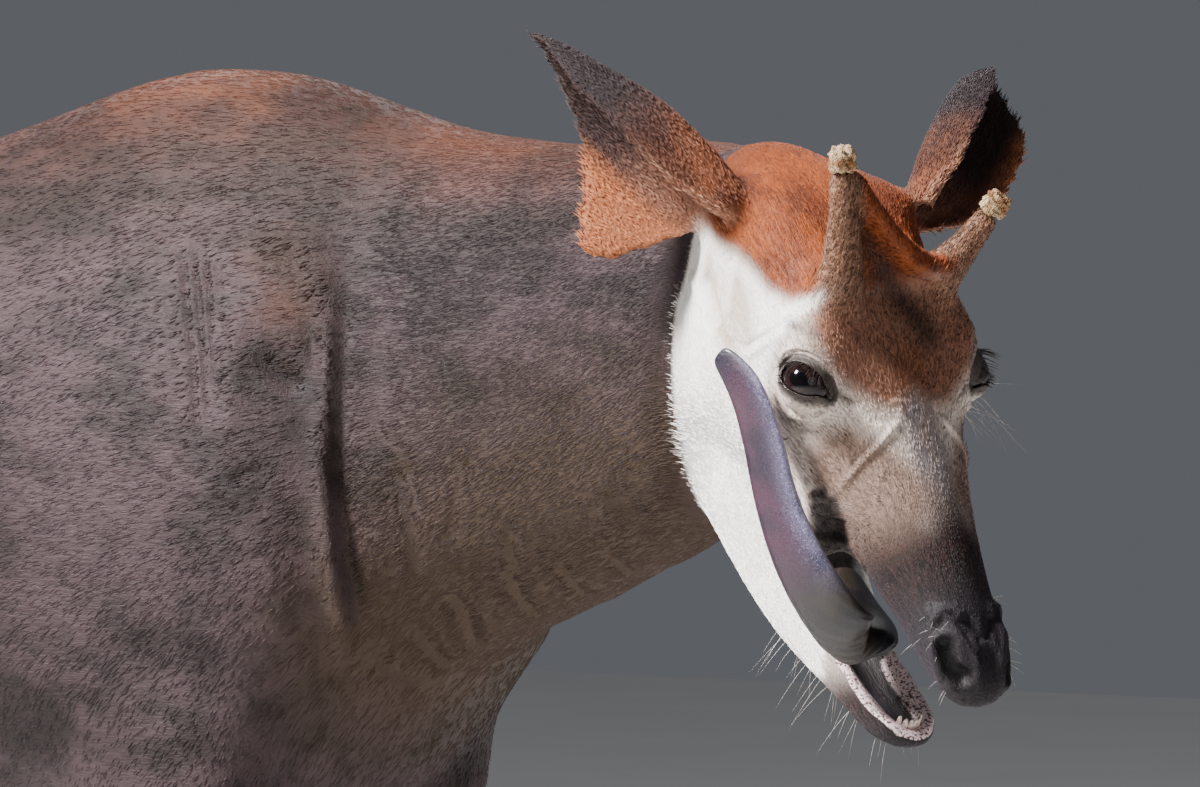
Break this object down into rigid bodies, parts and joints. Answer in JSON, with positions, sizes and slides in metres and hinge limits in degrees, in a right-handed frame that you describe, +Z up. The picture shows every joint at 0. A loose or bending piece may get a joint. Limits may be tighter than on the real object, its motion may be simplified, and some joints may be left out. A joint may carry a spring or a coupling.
{
  "type": "okapi",
  "caption": "Life-size standing okapi with striped rump and legs, head lowered and long tongue curled up its cheek.",
  "frame": {"origin": "middle of the bounding box at floor level, under the soles of the hooves", "axes": "+X forwards along the body, towards the head; +Y to the animal's left; +Z up"},
  "size_m": [1.9994, 0.5026, 1.5789],
  "materials": {
    "coat": "short velvety dark brown fur",
    "face": "short reddish and grey fur",
    "jaw": "short white fur",
    "stocking": "short cream fur with dark bands",
    "ear": "short brown fur, thin skin",
    "ossicone": "furred skin over bone",
    "bone": "worn bare bone",
    "eye": "wet and dark",
    "tongue": "wet slate-blue skin",
    "tooth": "worn enamel",
    "hoof": "dark horn",
    "hair": "long dark hair"
  },
  "bodies": {
    "root": {"torso": "coat", "neck": "coat", "head": "face", "lower_jaw": "jaw", "lower_teeth": "tooth", "tongue": "tongue", "ear_right": "ear", "ear_left": "ear", "eye_right": "eye", "eye_left": "eye", "ossicone_right": "ossicone", "ossicone_left": "ossicone", "ossicone_tip_right": "bone", "ossicone_tip_left": "bone", "foreleg_right": "stocking", "foreleg_left": "stocking", "hindleg_right": "stocking", "hindleg_left": "stocking", "hoof_fore_right_inner": "hoof", "hoof_fore_right_outer": "hoof", "hoof_fore_left_inner": "hoof", "hoof_fore_left_outer": "hoof", "hoof_hind_right_inner": "hoof", "hoof_hind_right_outer": "hoof", "hoof_hind_left_inner": "hoof", "hoof_hind_left_outer": "hoof", "tail": "coat", "tail_tuft": "hair"}
  },
  "joints": []
}
